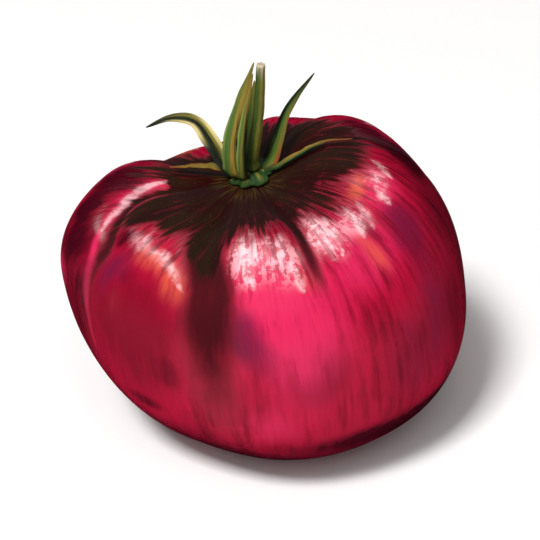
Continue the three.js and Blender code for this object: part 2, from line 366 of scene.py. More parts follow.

# %% [markdown]
# A tomato ripens unevenly, lobe by lobe: rose, orange where it ripens late, deep and wine
# red, plum, and olive on the shoulders. Light and shade are painted in with them: rose is
# also painted light where a lobe is lit and round its highlights, pale is a painted
# highlight, the orange on the front left lobe is partly a painted highlight, and deep and
# wine red are partly painted shade on the dark sides and low down by the table. Each such
# patch is a soft blot on the skin, given by its place and its spread. It could be painted
# on an unwrapped picture of the skin, but blots need no picture and stay where they are
# from every side. A blot with a strength below 0 holds its colour back: three of them keep
# the dark shoulder short where a lobe shows clean skin up to the rim.

# %% Patches of colour on the skin
# Azimuth, station, half width in degrees, half height in stations, strength.
PATCHES = {
    # Rose skin, and painted light where a lobe is lit and round its highlights.
    "rose_and_light": [
        (-85, 2.5, 13, 0.42, 1.0), (-72, 2.3, 14, 0.28, 0.5), (-48, 2.66, 16, 0.26, 0.9),
        (-19, 2.77, 10, 0.13, 0.7), (-82, 1.85, 34, 0.2, 0.15), (-91, 1.86, 8, 0.1, 0.3),
        (-166, 2.08, 6, 0.14, 0.8), (36, 2.5, 16, 0.35, 0.7), (80, 2.5, 14, 0.4, 0.8),
        (155, 2.55, 13, 0.35, 0.6),
    ],
    # Painted highlights: pale pink where the lights are mirrored on the lobes.
    "painted_highlight": [
        (-92, 2.76, 7, 0.18, 0.75), (-78, 2.74, 8, 0.18, 0.65), (-57, 2.8, 7, 0.17, 0.75),
        (-42, 2.8, 9, 0.1, 0.5), (-138, 2.72, 6, 0.1, 0.25), (-123, 2.66, 7, 0.08, 0.2),
        (-19, 2.79, 7, 0.07, 0.55), (78, 2.75, 8, 0.12, 0.4),
    ],
    # Late ripening orange; on the front left lobe it is partly a painted highlight.
    "orange": [
        (-116, 2.52, 6, 0.15, 0.5), (-128, 2.64, 10, 0.1, 0.5), (-72, 2.58, 5, 0.1, 0.4),
        (-24, 2.87, 8, 0.05, 0.7), (-44, 2.58, 5, 0.16, 0.5), (48, 2.7, 10, 0.12, 0.7),
        (120, 2.66, 9, 0.12, 0.8), (-134, 2.28, 4, 0.18, 0.18),
    ],
    # Deep crimson, partly painted shade on the dark left side, the front left and low in front.
    "deep": [
        (-162, 2.25, 20, 0.6, 1.0), (-126, 2.2, 16, 0.36, 1.0), (-36, 2.2, 18, 0.3, 0.3),
        (-94, 1.96, 8, 0.12, 0.4), (-76, 2.1, 11, 0.14, 0.9), (0, 2.3, 16, 0.5, 0.6),
        (60, 2.1, 18, 0.4, 0.7), (125, 2.2, 20, 0.5, 0.8),
    ],
    # Wine red, partly painted shade: the dark left side, the right edge, the creases and a band
    # low in front by the table.
    "wine_and_shade": [
        (168, 2.74, 13, 0.18, 1.5), (-176, 2.56, 8, 0.13, 1.2), (-162, 2.38, 8, 0.2, 1.0),
        (-152, 2.08, 6, 0.2, 0.7), (10, 2.6, 12, 0.11, 1.0), (-9, 2.42, 6, 0.2, 0.6),
        (-21, 2.1, 8, 0.3, 0.45), (27, 2.84, 9, 0.13, 1.1), (17, 2.7, 9, 0.14, 1.0),
        (140, 2.8, 10, 0.16, 0.8), (-102, 2.3, 5, 0.18, 0.6), (-38, 1.68, 46, 0.1, 1.1),
        (-117, 1.98, 5, 0.08, 0.55), (-132, 2.45, 4, 0.1, 0.45), (-111, 2.3, 4, 0.16, 0.4),
        (-129, 1.78, 7, 0.05, 0.6), (-145, 2.68, 5, 0.1, 0.8),
    ],
    # Push the dark shoulder, partly painted shade, further down, or hold it back.
    "dark": [
        (-142, 2.96, 14, 0.1, 0.9), (-153, 2.84, 8, 0.16, 1.5), (-108, 2.88, 7, 0.16, 0.9),
        (14, 2.94, 26, 0.1, 0.8), (-14, 3.0, 14, 0.06, 0.7), (62, 2.95, 14, 0.14, 0.7),
        (130, 2.9, 20, 0.16, 0.7), (-85, 3.08, 18, 0.08, 0.8), (55, 2.88, 24, 0.1, -1.5),
        (176, 2.96, 7, 0.07, -1.2), (118, 2.88, 16, 0.1, -1.0),
    ],
    "plum": [
        (-26, 2.56, 8, 0.16, 0.8), (-94, 2.32, 6, 0.15, 1.0), (-89, 2.18, 6, 0.12, 0.5),
        (-30, 2.25, 7, 0.3, 0.5), (-45, 2.05, 12, 0.2, 0.5), (-136, 2.55, 5, 0.2, 0.5),
        (20, 2.6, 7, 0.2, 0.8), (98, 2.4, 8, 0.3, 0.8), (-141, 2.42, 4, 0.18, 0.6),
    ],
}
PATCH_EDGE = 2.6


def patch_strength(station, azimuth, blots):
    """The sum of soft oval blots at every point."""
    strength = np.zeros_like(station)
    for middle, level, wide, high, full in blots:
        away = np.hypot(turn_from(middle, azimuth) / wide, (station - level) / high)
        strength += full * np.exp(-(away**PATCH_EDGE))
    return strength


fruit_values = {name: patch_strength(station, azimuth, blots) for name, blots in PATCHES.items()}
print({name: len(blots) for name, blots in PATCHES.items()}, "patches")

# %% [markdown]
# Where a lobe bulges most, the lights on it are painted as pale highlight strokes that run
# down the lobes. A long thin mark like that isn't a blot but a line with a soft
# edge. Each one is a row of points on the skin. The left lobe has the longest: a painted
# highlight along its crest that curls round from the rim and down its side, with rose
# painted light beside it.

# %% Painted highlight strokes on the skin
# Half width in millimetres, strength, then station and azimuth of the points on its way.
HIGHLIGHT_STROKES = {
    # Painted highlight strokes down the lobes and along the left lobe's crest.
    "stroke": [
        (1.1, 1.5, (3.0, 170), (2.9, 178), (2.82, 188), (2.74, 195), (2.6, 203)),
        (1.1, 0.6, (2.62, -135), (2.78, -134)), (1.1, 0.6, (2.65, -134), (2.84, -138)),
        (1.3, 0.7, (2.68, -130), (2.72, -125), (2.6, -118), (2.5, -113)),
        (2.1, 0.9, (2.9, -94), (2.58, -90)), (1.5, 0.8, (2.96, -90), (2.74, -87)),
        (1.2, 0.7, (2.92, -82), (2.74, -83)), (1.6, 0.8, (2.9, -76), (2.7, -78)),
        (1.5, 0.8, (2.7, -75), (2.52, -74)), (2.2, 0.9, (2.92, -56), (2.64, -60)),
        (1.4, 0.8, (2.9, -50), (2.64, -56)), (1.1, 0.7, (2.86, -62), (2.76, -63)),
        (1.6, 0.9, (2.88, -37), (2.68, -43)), (1.3, 0.8, (2.84, -31), (2.68, -37)),
        (1.4, 0.8, (2.84, -5), (2.72, -13)), (1.3, 0.9, (2.78, -22), (2.68, -24)),
        (1.5, 0.8, (2.74, 34), (2.5, 38)), (1.4, 0.8, (2.72, 74), (2.5, 78)),
        (1.2, 0.8, (2.74, 84), (2.56, 86)), (1.5, 0.8, (2.76, 118), (2.5, 114)),
        (1.4, 0.8, (2.7, 150), (2.5, 153)),
    ],
    # Rose painted light beside the crest's highlight and running on down the left lobe.
    "rose_and_light": [
        (2.6, 0.9, (3.0, 170), (2.9, 178), (2.82, 188), (2.74, 195), (2.62, 202)),
        (1.5, 0.8, (2.66, -160), (2.4, -150), (2.12, -147), (1.9, -145)),
    ],
}
STROKE_STEPS = 12
STROKE_REACH = 6.0
STROKE_END = 0.3


def stroke_line(*stops):
    """The stroke's points on the skin, in millimetres, evenly spaced between its stops."""
    knots = np.array(stops)
    place = np.linspace(0, len(knots) - 1, STROKE_STEPS)
    return skin_point(*(np.interp(place, range(len(knots)), knots[:, k]) for k in (0, 1)))


def stroke_strength(points, half_width, full, *stops):
    """Full on the stroke's line and 0 away from it; the line thins towards its ends."""
    line = stroke_line(*stops)
    length = np.linalg.norm(line[-1] - line[0])
    close = np.linalg.norm(points - line.mean(0), axis=-1) < length / 2 + STROKE_REACH
    local = points[close]
    nearest = np.full(len(local), 1e6)
    for step, (start, end) in enumerate(zip(line[:-1], line[1:])):
        run = end - start
        share = np.clip((local - start) @ run / (run @ run), 0, 1)
        body = np.sin(np.pi * (step + share) / (STROKE_STEPS - 1))
        taper = half_width * blend(STROKE_END, 1, body)
        away = np.linalg.norm(local - start - share[:, None] * run, axis=-1)
        nearest = np.minimum(nearest, away / taper)
    strength = np.zeros(points.shape[:-1])
    strength[close] = full * np.exp(-(nearest**2))
    return strength


for name, strokes in HIGHLIGHT_STROKES.items():
    strongest = np.max([stroke_strength(skin, *stroke) for stroke in strokes], axis=0)
    fruit_values[name] = np.maximum(fruit_values.get(name, 0), strongest)
    print(len(strokes), "strokes of", name)

# %% [markdown]
# A crease is darker than the skin beside it: its dark line is painted shade, because little
# light gets in, and also skin that ripens late. That line is a value of its own, narrower
# than the dip, so a wide shallow crease can still have a fine line. With that, the fruit has
# all the values that its finish will read, and becomes a piece.

# %% Dark lines of the creases, and the fruit
FURROW_TOP = 2.75
FURROW_RISE = 0.05


def furrow_strength(station, azimuth):
    """How much painted shade each crease lays on the skin: most along its bottom, and 0 beside it.
    """
    value = np.zeros_like(station)
    for middle, _, _, run, bend, dark, wide in CREASES:
        turn = off_crease(station, azimuth, middle, bend)
        start = 3 - FURROW_RISE - run
        here = dark * np.exp(-((turn / wide) ** 2)) * ease(station, start, FURROW_TOP)
        value = np.maximum(value, here)
    return value


fruit_values["station"] = station
fruit_values["furrow"] = furrow_strength(station, azimuth)
fruit_values["grain"] = grain_vector(np.radians(azimuth), station)
fruit = make_piece("fruit_skin", skin, fruit_values, "fruit")

# %% [markdown]
# A material in Blender is a graph of small steps, each a node with sockets that are linked
# or hold a number. Writing it out node by node is long, so this little workbench adds one
# step per call and gives back its output. Each finish below then reads like a recipe. The
# first half reads values from the mesh and does sums with them.

# %% A workbench for finishes: values and sums
class Steps:
    """One material's graph: each call adds a step and gives back the step's result."""

    def __init__(self, name):
        self.material = bpy.data.materials.new(name)
        self.material.use_nodes = True
        self.nodes = self.material.node_tree.nodes
        self.links = self.material.node_tree.links
        self.shader = self.nodes["Principled BSDF"]

    def feed(self, socket, value):
        """Links a step's result to a socket, or sets a plain number or colour on it."""
        if isinstance(value, bpy.types.NodeSocket):
            self.links.new(value, socket)
        else:
            socket.default_value = value

    def stored(self, name):
        """The node that reads a named value from the mesh."""
        node = self.nodes.new("ShaderNodeAttribute")
        node.attribute_name = name
        return node

    def value(self, name):
        return self.stored(name).outputs["Fac"]

    def math(self, operation, first, second=0.0, third=0.0):
        node = self.nodes.new("ShaderNodeMath")
        node.operation = operation
        for socket, value in zip(node.inputs, (first, second, third)):
            self.feed(socket, value)
        return node.outputs["Value"]

    def times(self, first, second):
        return self.math("MULTIPLY", first, second)

    def add_share(self, value, share, base):
        """base plus a share of value."""
        return self.math("MULTIPLY_ADD", value, share, base)

    def step(self, value, low, high, start=0.0, end=1.0):
        """start below low, end above high and eased between them."""
        node = self.nodes.new("ShaderNodeMapRange")
        node.interpolation_type = "SMOOTHSTEP"
        for name, given in (("Value", value), ("From Min", low), ("From Max", high),
                            ("To Min", start), ("To Max", end)):
            self.feed(node.inputs[name], given)
        return node.outputs["Result"]


print("workbench: values and sums")

# %% [markdown]
# The second half has the steps that make a surface: noises, mixes of two colours, dots,
# and small bumps that only turn the light. A noise is stretched by stretching the vector
# that it is read along. "place" is the point's own place on the object, and "grain" is a
# vector from the mesh that follows the piece, so a noise over it comes out as streaks.

# %% A workbench for finishes: noises, mixes and the surface
# The mix node has a set of sockets for each kind of value. These are the ones for colours.
MIX_INPUTS = (0, 6, 7)
MIX_RESULT = 2


class Finish(Steps):
    """The steps that a surface is made of."""

    def stretch(self, name, scale):
        """The place on the object, or a named vector stored on the mesh, times scale."""
        if name == "place":
            source = self.nodes.new("ShaderNodeTexCoord").outputs["Object"]
        else:
            source = self.stored(name).outputs["Vector"]
        mapping = self.nodes.new("ShaderNodeMapping")
        self.feed(mapping.inputs["Vector"], source)
        mapping.inputs["Scale"].default_value = scale
        return mapping.outputs["Vector"]

    def noise(self, vector, detail=4.0, rough=0.55):
        node = self.nodes.new("ShaderNodeTexNoise")
        self.feed(node.inputs["Vector"], vector)
        node.inputs["Scale"].default_value = 1.0
        node.inputs["Detail"].default_value = detail
        node.inputs["Roughness"].default_value = rough
        return node.outputs["Fac"]

    def mix(self, first, second, share):
        """first at share 0 and second at share 1."""
        node = self.nodes.new("ShaderNodeMix")
        node.data_type = "RGBA"
        for socket, value in zip(MIX_INPUTS, (share, first, second)):
            self.feed(node.inputs[socket], value)
        return node.outputs[MIX_RESULT]

    def specks(self, vector, size):
        """1 in the middle of scattered dots of this size, 0 between them."""
        node = self.nodes.new("ShaderNodeTexVoronoi")
        self.feed(node.inputs["Vector"], vector)
        return self.step(node.outputs["Distance"], size * 0.6, size, 1.0, 0.0)

    def raised(self, height, distance, strength=1.0):
        """The surface's own direction, tilted by a height in metres."""
        node = self.nodes.new("ShaderNodeBump")
        node.inputs["Distance"].default_value = distance
        node.inputs["Strength"].default_value = strength
        self.feed(node.inputs["Height"], height)
        return node.outputs["Normal"]

    def surface(self, **settings):
        """Feeds the shader's sockets: base_color goes to Base Color, and so on."""
        for name, value in settings.items():
            socket = name.replace("_", " ").title().replace("Ior", "IOR")
            self.feed(self.shader.inputs[socket], value)

    def on(self, piece):
        piece.data.materials.clear()
        piece.data.materials.append(self.material)


print("workbench: noises, mixes and the surface")

# %% [markdown]
# The skin of this kind of tomato is crimson with a purple cast, and stays olive and almost
# black on the shoulders round the stem, partly because it ripens last there and partly as
# painted shade round the pit. The colours are named once here, as a painter lays out a
# palette, and all the steps of the finish share them. The highlight pink and white are
# painted highlights, and the wine red and the crease dark are partly painted shade.

# %% Colours of the skin
CRIMSON = srgb(180, 12, 54)
DEEP_CRIMSON = srgb(120, 8, 34)
ROSE_AND_LIGHT = srgb(210, 38, 88)
HIGHLIGHT_PINK = srgb(246, 172, 184)
PLUM = srgb(100, 20, 56)
WINE_AND_SHADE = srgb(52, 4, 18)
HIGHLIGHT_WHITE = srgb(246, 208, 214)
ORANGE = srgb(212, 92, 60)
SHOULDER = srgb(36, 4, 5)
SHOULDER_OLIVE = srgb(36, 17, 3)
SHOULDER_RED = srgb(96, 8, 24)
PIT_OLIVE = srgb(74, 60, 26)
CREASE_DARK = srgb(50, 6, 12)
FLECK = srgb(220, 150, 130)
SCAR = srgb(138, 104, 66)
print("palette of the skin is ready")

# %% [markdown]
# Nothing on a fruit has an even edge, so every colour is broken up by a noise. Streaks run
# with the grain, as the veins under the skin do. Blotches are round, and strokes are a mix
# of both that turns to pure streaks towards the pit. Crumbs are very fine and break the
# painted highlights up like the dry edge of a brush mark.

# %% Noises of the skin
def skin_noises(skin):
    """The noises that break up the skin's colours, by name."""
    streaks = skin.noise(skin.stretch("grain", (20, 20, 3.5)), detail=5, rough=0.6)
    broad = skin.noise(skin.stretch("grain", (6, 6, 1.8)), detail=3)
    blotches = skin.noise(skin.stretch("place", (46, 46, 46)), detail=5, rough=0.6)
    streaked = skin.step(skin.value("station"), 2.3, 2.75, 0.5, 1.0)
    strokes = skin.add_share(skin.math("SUBTRACT", streaks, blotches), streaked, blotches)
    crumbs = skin.noise(skin.stretch("place", (380, 380, 380)), detail=6, rough=0.7)
    crumbs = skin.step(skin.add_share(crumbs, 0.6, skin.times(streaks, 0.4)), 0.36, 0.64)
    return {"streaks": streaks, "broad": broad, "blotches": blotches, "strokes": strokes,
            "crumbs": crumbs}


print("noises of the skin: streaks, broad ones, blotches, strokes and crumbs")

# %% [markdown]
# The ripe skin starts as two crimsons, and the patches are laid over it one after another,
# dark ones before pale ones, as glazes are. Deep and wine red are partly painted shade,
# rose is partly painted light, and the pale one is a painted highlight. The value on the
# mesh says where a patch is, and the noise eats into its edge. The pale strokes, painted
# highlights, come last.

# %% Ripe colour of the skin
# Value on the mesh, its colour, the noise at its edge, and how much it covers at most.
GLAZES = [
    ("deep", DEEP_CRIMSON, "strokes", 0.95),
    ("rose_and_light", ROSE_AND_LIGHT, "strokes", 0.9),
    ("orange", ORANGE, "strokes", 0.85),
    ("plum", PLUM, "strokes", 0.85),
    ("wine_and_shade", WINE_AND_SHADE, "strokes", 0.9),
    ("painted_highlight", HIGHLIGHT_PINK, "crumbs", 0.8),
]


def ripe_colour(skin, noises):
    """Crimson skin with its patches, partly painted light and shade, and painted highlight
    strokes.
    """
    body = skin.mix(DEEP_CRIMSON, CRIMSON, skin.step(noises["strokes"], 0.34, 0.58))
    for name, colour, noise, cover in GLAZES:
        edge = skin.step(noises[noise], 0.32, 0.64, 0.45, 1.25)
        weight = skin.times(skin.value(name), edge)
        body = skin.mix(body, colour, skin.step(weight, 0.08, 0.9, 0.0, cover))
    # The painted highlight strokes, broken up by the crumbs.
    highlight_mask = skin.times(skin.value("stroke"), skin.step(noises["crumbs"], 0.1, 0.9, 0.4, 1.15))
    return skin.mix(body, HIGHLIGHT_WHITE, skin.step(highlight_mask, 0.05, 1.0, 0.0, 0.6))


print(len(GLAZES), "glazes over the crimson")

# %% [markdown]
# The dark shoulder is olive skin that ripens last together with painted shade round the
# pit, and it ends in flames that run down the lobes. To get them, the station is pushed up
# and down by the streaks, and whatever comes out above one level is dark. The creases and
# the "dark" patches push it too, so that the painted shade runs down a crease and stops
# short elsewhere. Thin gleams of red show through, and the pit itself is olive.

# %% The dark shoulder and the creases, partly painted shade
SHOULDER_LEVEL = (3.45, 3.68)


def shoulder_and_crease_shade(skin, noises, body):
    """The body with its creases and dark shoulder, both partly painted shade, and how dull the
    skin is there.
    """
    station = skin.value("station")
    furrow = skin.value("furrow")
    reach = station
    for push, share in ((noises["streaks"], 0.8), (noises["broad"], 0.45), (furrow, 0.2),
                        (skin.value("dark"), 0.2)):
        reach = skin.add_share(push, share, reach)
    dark = skin.step(reach, *SHOULDER_LEVEL)
    shade = skin.mix(SHOULDER, SHOULDER_OLIVE, skin.step(noises["broad"], 0.4, 0.65))
    gleams = skin.times(skin.step(noises["streaks"], 0.3, 0.47, 0.75, 0.0),
                        skin.step(station, 3.05, 3.5, 1.0, 0.15))
    shade = skin.mix(shade, SHOULDER_RED, gleams)
    # Painted shade along the bottom of the creases.
    crease = skin.times(furrow, skin.step(noises["streaks"], 0.3, 0.6, 0.7, 1.1))
    body = skin.mix(body, CREASE_DARK, skin.step(crease, 0.1, 0.8, 0.0, 0.92))
    # The dark shoulder: olive skin and painted shade round the pit.
    body = skin.mix(body, shade, dark)
    olive = skin.times(skin.step(station, 3.45, 3.75), skin.step(noises["streaks"], 0.45, 0.65))
    return skin.mix(body, PIT_OLIVE, olive), skin.math("MAXIMUM", dark, furrow)


print("the shoulder turns dark between the levels", *SHOULDER_LEVEL)

# %% [markdown]
# Three small marks finish the colour: painted shade darkens the skin where it curves in
# over the table, the blossom scar underneath is brown cork, and the shoulder has pale
# flecks, which are pores. Ripe skin is waxy and gives bright lights with soft edges, while
# the dark shoulder and the creases are dull. So the roughness goes up and the wax coat
# ends where the skin is dark. Very fine grain tilts the light a little, so that no
# highlight is quite clean.

# %% Finish of the skin
WAXY_ROUGHNESS = 0.26
WAX_COAT = 0.08
GRAIN_HEIGHT = 0.0004


def small_marks(skin, noises, body):
    """A ring of painted shade low on the fruit, the blossom scar and the flecks of the shoulder.
    """
    station = skin.value("station")
    low_painted_shade = skin.times(skin.step(station, 1.2, 1.45), skin.step(station, 1.5, 1.76, 0.8, 0.0))
    body = skin.mix(body, WINE_AND_SHADE, low_painted_shade)
    scar = skin.add_share(noises["blotches"], 0.12, station)
    body = skin.mix(body, SCAR, skin.step(scar, 0.17, 0.24, 0.9, 0.0))
    flecks = skin.specks(skin.stretch("place", (260, 260, 260)), 0.09)
    return skin.mix(body, FLECK, skin.times(flecks, skin.step(station, 2.5, 3.0, 0.05, 0.3)))


def skin_finish():
    skin = Finish("tomato_skin")
    noises = skin_noises(skin)
    body, dull = shoulder_and_crease_shade(skin, noises, ripe_colour(skin, noises))
    grain = skin.noise(skin.stretch("grain", (32, 32, 4)))
    skin.surface(
        base_color=small_marks(skin, noises, body),
        roughness=skin.step(dull, 0.0, 0.8, WAXY_ROUGHNESS, 1.0),
        coat_weight=skin.step(dull, 0.0, 0.8, WAX_COAT, 0.0),
        coat_roughness=0.16,
        specular_ior_level=0.3,
        normal=skin.raised(grain, GRAIN_HEIGHT, 0.5),
    )
    return skin


skin_finish().on(fruit)
print("skin finished in", len(fruit.active_material.node_tree.nodes), "steps")

# %% [markdown]
# The calyx is the star of leaves that held the flower. Its pad sits down in the pit and
# follows the pit's slope. The pad is a flat lathe shape whose rings are laid on the skin,
# so that no light shows under it. Its edge draws in between the sepals, and shallow ribs
# run out to them.

# %% The calyx pad
PAD_GAP = 0.4
PAD_AROUND = 120
PAD_RADIUS = 5.2
PAD_RIBS = (14, 0.12)
PAD_NOTCHES = (7, 0.16)

# Radius, height over the underside, and how much of the pit's rise it follows.
PAD_RINGS = [
    (0.05, 0, 1), (3, 0, 1), (4.6, 0, 1), (4.95, 0.08, 1), (5.15, 0.3, 1), (5.18, 0.55, 1),
    (5.0, 0.85, 0.95), (4.6, 1.15, 0.87), (4.0, 1.45, 0.72), (3.4, 1.7, 0.58),
    (2.9, 1.95, 0.3), (2.5, 2.15, 0.05), (2.2, 2.2, 0), (0.05, 2.2, 0),
]


def pad_points():
    """The pad's rings on the skin of the pit, with the radius and turn of every point."""
    profile = np.array(PAD_RINGS)
    radius, azimuth = rings_and_laps(profile[:, 0], PAD_AROUND, 360)
    height, follow = (profile[:, column][:, None] + 0 * azimuth for column in (1, 2))
    points = skin_point(4 - radius / RIM_RADIUS, azimuth)
    points[..., 2] = blend(PIT_FLOOR, points[..., 2], follow) + PAD_GAP + height
    turn = np.radians(azimuth)
    ribs, rib_height = PAD_RIBS
    points[..., 2] += rib_height * np.cos(turn * ribs) * ease(radius, 2, 4) * (height > 0.5)
    notches, notch_depth = PAD_NOTCHES
    notch = 0.5 - 0.5 * np.cos(turn * notches + 0.9 * np.sin(turn * 3))
    inwards = 1 - notch_depth * notch**2 * ease(radius, 2.4, 4.8)
    points[..., :2] = PIT_MIDDLE[:2] + (points[..., :2] - PIT_MIDDLE[:2]) * inwards[..., None]
    return points, radius / PAD_RADIUS, turn


points, outwards, turn = pad_points()
pad_values = {"along": outwards, "across": np.cos(turn * 7), "grain": grain_vector(turn, outwards)}
pad = make_piece("calyx_pad", points, pad_values, "calyx")

# %% [markdown]
# A sepal is a narrow leaf: widest a little way up, drawn out to a fine point, with a
# midrib and with edges that curl up and wave a little. Four of them stand and one arches
# out to the left and turns over on its way. Each spine is a smooth curve through a few
# points, which is quicker to shape than a mesh and can't get a kink.

# %% Sizes of the standing and arched sepals
# Name, the azimuth its flat faces, greatest width, twist towards the tip in degrees, and
# its spine's points from the middle of the pit's floor.
FREE_SEPALS = [
    ("arched", 158, 5.2, 48, [(-1.8, 0.6, 1.7), (-5, -0.8, 2.4), (-6.9, 0.6, 5),
                             (-9.1, 2.8, 8.4), (-12.6, 5.8, 11.8), (-18.2, 7.6, 11.8),
                             (-24, 9, 8.8)]),
    ("broad", -124, 6.0, 0, [(-1.8, -1.8, 1.7), (-4.2, -4, 3.9), (-4.6, -4.2, 11),
                             (-2.6, -2.2, 19.6), (0.9, 1.2, 28.6)]),
    ("narrow", -92, 3.0, 0, [(-0.8, -2.2, 1.7), (-1.8, -4.8, 3.5), (-1.9, -5.2, 11),
                             (-0.9, -3.6, 19), (0.7, -0.8, 26.8)]),
    ("slender", 60, 4.2, 0, [(1.8, 1.2, 1.8), (4.8, 2, 4.1), (6.4, 2, 9.2),
                             (8.8, 2.4, 16.8), (14.4, 3.4, 25)]),
    ("back", 96, 4.2, 0, [(-0.4, 2, 1.8), (-0.6, 4.4, 4.5), (-0.4, 5, 10),
                          (0.4, 6.2, 16), (1, 8.2, 21)]),
]
print(len(FREE_SEPALS), "free sepals")

# %% [markdown]
# Two more sepals lie on the shoulders. Their spines can't be guessed in the air, because
# they have to follow the skin, so they are given as places on it. The skin's own formula
# then says where that is, a little lift keeps them clear of it, and an arch raises the
# middle of the left one.

# %% Sizes of the lying sepals
# Name, azimuth, greatest width, arch over the skin, then station and azimuth at its ends.
LYING_SEPALS = [
    ("right_low", 3, 2.8, 0.0, (3.82, 1), (2.92, 11)),
    ("left_low", 160, 3.0, 1.2, (3.82, 162), (3.0, 160)),
]
LYING_LIFT = 1.3
LYING_SPANS = 6


def lying_spine(arch, start, end):
    """Points a little above the skin, from one place on it to another."""
    share = np.linspace(0, 1, LYING_SPANS + 1)
    spine = skin_point(blend(start[0], end[0], share), blend(start[1], end[1], share))
    spine[:, 2] += LYING_LIFT + arch * np.sin(np.pi * share)
    return spine


print(len(LYING_SEPALS), "lying sepals")

# %% [markdown]
# A blade needs to know three directions at each step along its spine: forwards, across the
# blade, and through it. The spine is a Catmull-Rom curve, which passes through all of its
# points. Across starts as a level direction, and what points forwards is taken out of it.

# %% The spine of a blade
def smooth_curve(points, shares):
    """A Catmull-Rom curve through points, and its direction, at shares of its length."""
    ends = np.vstack([2 * points[0] - points[1], points, 2 * points[-1] - points[-2]])
    place = np.clip(shares, 0, 1 - 1e-9) * (len(points) - 1)
    span = place.astype(int)
    t = (place - span)[:, None]
    a, b, c, d = (ends[span + k] for k in range(4))
    square = 2 * a - 5 * b + 4 * c - d
    cube = 3 * b - a - 3 * c + d
    curve = 0.5 * (2 * b + (c - a) * t + square * t**2 + cube * t**3)
    slope = 0.5 * ((c - a) + 2 * square * t + 3 * cube * t**2)
    return curve, slope / np.linalg.norm(slope, axis=1, keepdims=True)


def blade_frame(spine, azimuth, shares):
    """Points along a spine, with the directions across the blade and through it."""
    curve, forward = smooth_curve(spine, shares)
    turn = math.radians(azimuth)
    level = np.array([math.sin(turn), -math.cos(turn), 0.0])
    across = level - forward * (forward @ level)[:, None]
    across /= np.linalg.norm(across, axis=1, keepdims=True)
    return curve, across, np.cross(across, forward)


arched_spine, _ = smooth_curve(np.array(FREE_SEPALS[0][-1]), np.linspace(0, 1, 60))
arched_length = np.linalg.norm(np.diff(arched_spine, axis=0), axis=1).sum()
print("the arched sepal is", round(float(arched_length), 1), "mm long")

# %% [markdown]
# A blade is just under a millimetre thick near its foot, thickens into the pad, and thins
# towards its edges and its tip. All seven share the sizes below, as leaves of one plant
# do, and differ only in their spine, width and twist.

# %% Sizes of a blade
BLADE_STEPS = 90
BLADE_AROUND = 40
BLADE_THICK = (0.9, 0.35)
BLADE_EDGE_THINNER = 0.55
BLADE_TIP = 0.22
BLADE_ROOT = (0.7, 0.16)
BLADE_FOOT = 0.7
BLADE_WIDEST = 0.25
BLADE_TAPER = (1.7, 0.85)
BLADE_CURL = 0.3
BLADE_TWIST_SPAN = (0.2, 0.55)
MIDRIB_DEPTH = 0.28
MIDRIB_WIDTH = 0.16
EDGE_WAVE = 0.16
EDGE_NICK = 0.04


def signed_power(value, power):
    """Keeps the sign and bends the size: it makes a round ring flatter or fuller."""
    return np.sign(value) * np.abs(value) ** power


print("blade:", BLADE_STEPS, "steps of", BLADE_AROUND, "points")

# %% [markdown]
# A leaf could be cut out of a flat sheet and bent, but then it has no edge for the light
# to catch. Here a ring of points goes once round the blade at each step: out over the
# upper face and back under the lower one. The midrib stands out below and dips above.
# Small waves along the edges, with a seeded phase for each sepal, keep it from looking cut
# out of card.

# %% Building a blade
def make_blade(name, azimuth, width, spine, twist=0.0):
    shares = np.linspace(0, 1, BLADE_STEPS)
    curve, across, through = blade_frame(spine, azimuth, shares)
    turn = (math.radians(twist) * ease(shares, *BLADE_TWIST_SPAN))[:, None]
    across, through = (across * np.cos(turn) + through * np.sin(turn),
                       through * np.cos(turn) - across * np.sin(turn))
    share, lap = rings_and_laps(shares, BLADE_AROUND, 2 * np.pi)
    side = signed_power(np.cos(lap), 0.8)
    face = signed_power(np.sin(lap), 0.5)
    power, fullness = BLADE_TAPER
    shape = blend(BLADE_FOOT, 1, ease(share, 0, BLADE_WIDEST)) * (1 - share**power) ** fullness
    half = blend(BLADE_TIP, width, shape) / 2
    thick = blend(*BLADE_THICK, share) * (1 - BLADE_EDGE_THINNER * side**2) / 2
    root, root_end = BLADE_ROOT
    thick *= 1 + root * (1 - ease(share, 0, root_end))
    thick = np.minimum(thick, half)
    phase = rng.uniform(0, 2 * np.pi, 3)
    wave = np.sin(share * 23 + phase[0]) + 0.6 * np.sin(share * 41 + phase[1])
    lift = BLADE_CURL * half * side**2 + EDGE_WAVE * wave * np.abs(side) ** 3 * half / 2
    midrib = np.exp(-((side / MIDRIB_WIDTH) ** 2)) * ease(share, 0, 0.1) * (1 - share)
    lift -= MIDRIB_DEPTH * midrib * half / 2
    x = side * half * (1 + EDGE_NICK * np.sin(share * 31 + phase[2]))
    z = face * thick + lift
    rings = curve[:, None] + across[:, None] * x[..., None] + through[:, None] * z[..., None]
    values = {"along": share, "across": side,
              "grain": np.stack([side, face * 0.2, share], axis=-1)}
    return make_piece("sepal_" + name, rings, values, "calyx")


green_pieces = {"pad": pad}
for name, azimuth, width, twist, spine in FREE_SEPALS:
    green_pieces[name] = make_blade(name, azimuth, width, np.array(spine) + PIT_MIDDLE, twist)
for name, azimuth, width, arch, start, end in LYING_SEPALS:
    green_pieces[name] = make_blade(name, azimuth, width, lying_spine(arch, start, end))

# %% [markdown]
# No two sepals have the same colours. They are dark green where they stand, and dry from
# the edges and the tip towards yellow, ochre and brown. Painted shade is in them too: the
# black-green sides where the sepals stand close together, the black-green middle under
# the arched one, and the darker green at every foot and on the pad, partly painted shade
# down in the pit. So a table gives each one its middle, its two sides, a dried rim on one
# of them and its tip. A side or a rim can hold for only a span of the length, as a real
# edge dries in places.

